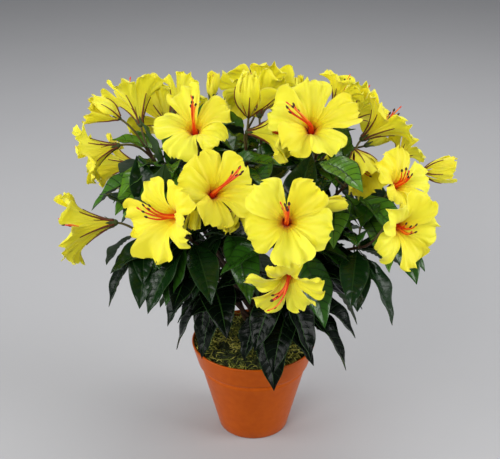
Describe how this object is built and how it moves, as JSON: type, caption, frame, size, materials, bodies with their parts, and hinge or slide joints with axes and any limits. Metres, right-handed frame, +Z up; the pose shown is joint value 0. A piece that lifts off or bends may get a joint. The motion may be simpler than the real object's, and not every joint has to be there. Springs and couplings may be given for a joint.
{
  "type": "potted artificial hibiscus shrub",
  "caption": "Artificial flowering shrub with drooping glossy leaves and yellow trumpet-shaped blooms on wired boughs, standing in a round tapered plastic pot topped with moss.",
  "frame": {"origin": "centre of the pot's flat underside", "axes": "+Z up; +X to the right and -Y towards the viewer in the picture's front view"},
  "size_m": [0.3791, 0.3347, 0.3902],
  "materials": {
    "pot_plastic": "satin terracotta-coloured plastic",
    "filling": "matte",
    "moss": "matte, curly",
    "stem": "matte",
    "leaves": "glossy coated cloth",
    "petals": "matte cloth"
  },
  "bodies": {
    "root": {"pot": "pot_plastic", "filling": "filling", "moss": "moss", "main_stem": "stem", "bough_left_high": "stem", "bough_left_low": "stem", "bough_front_left": "stem", "bough_top_left": "stem", "bough_front_mid": "stem", "bough_front_right": "stem", "bough_front_low": "stem", "bough_top_mid": "stem", "bough_top_right": "stem", "bough_right_high": "stem", "bough_right_mid": "stem", "bough_right_low": "stem", "bough_back_right": "stem", "bough_back_mid": "stem", "bough_back_left": "stem", "bough_back_top": "stem", "blooms_left_high": "petals", "blooms_left_low": "petals", "blooms_front_left": "petals", "blooms_top_left": "petals", "blooms_front_mid": "petals", "blooms_front_right": "petals", "blooms_front_low": "petals", "blooms_top_mid": "petals", "blooms_top_right": "petals", "blooms_right_high": "petals", "blooms_right_mid": "petals", "blooms_right_low": "petals", "blooms_back_right": "petals", "blooms_back_mid": "petals", "blooms_back_left": "petals", "blooms_back_top": "petals", "leaves_left_high": "leaves", "leaves_left_low": "leaves", "leaves_front_left": "leaves", "leaves_top_left": "leaves", "leaves_front_mid": "leaves", "leaves_front_right": "leaves", "leaves_front_low": "leaves", "leaves_top_mid": "leaves", "leaves_top_right": "leaves", "leaves_right_high": "leaves", "leaves_right_mid": "leaves", "leaves_right_low": "leaves", "leaves_back_right": "leaves", "leaves_back_mid": "leaves", "leaves_back_left": "leaves", "leaves_back_top": "leaves", "leaves_skirt_front": "leaves", "leaves_skirt_left": "leaves", "leaves_skirt_right": "leaves", "leaves_skirt_back_right": "leaves", "leaves_skirt_back": "leaves", "leaves_skirt_back_left": "leaves"}
  },
  "joints": []
}
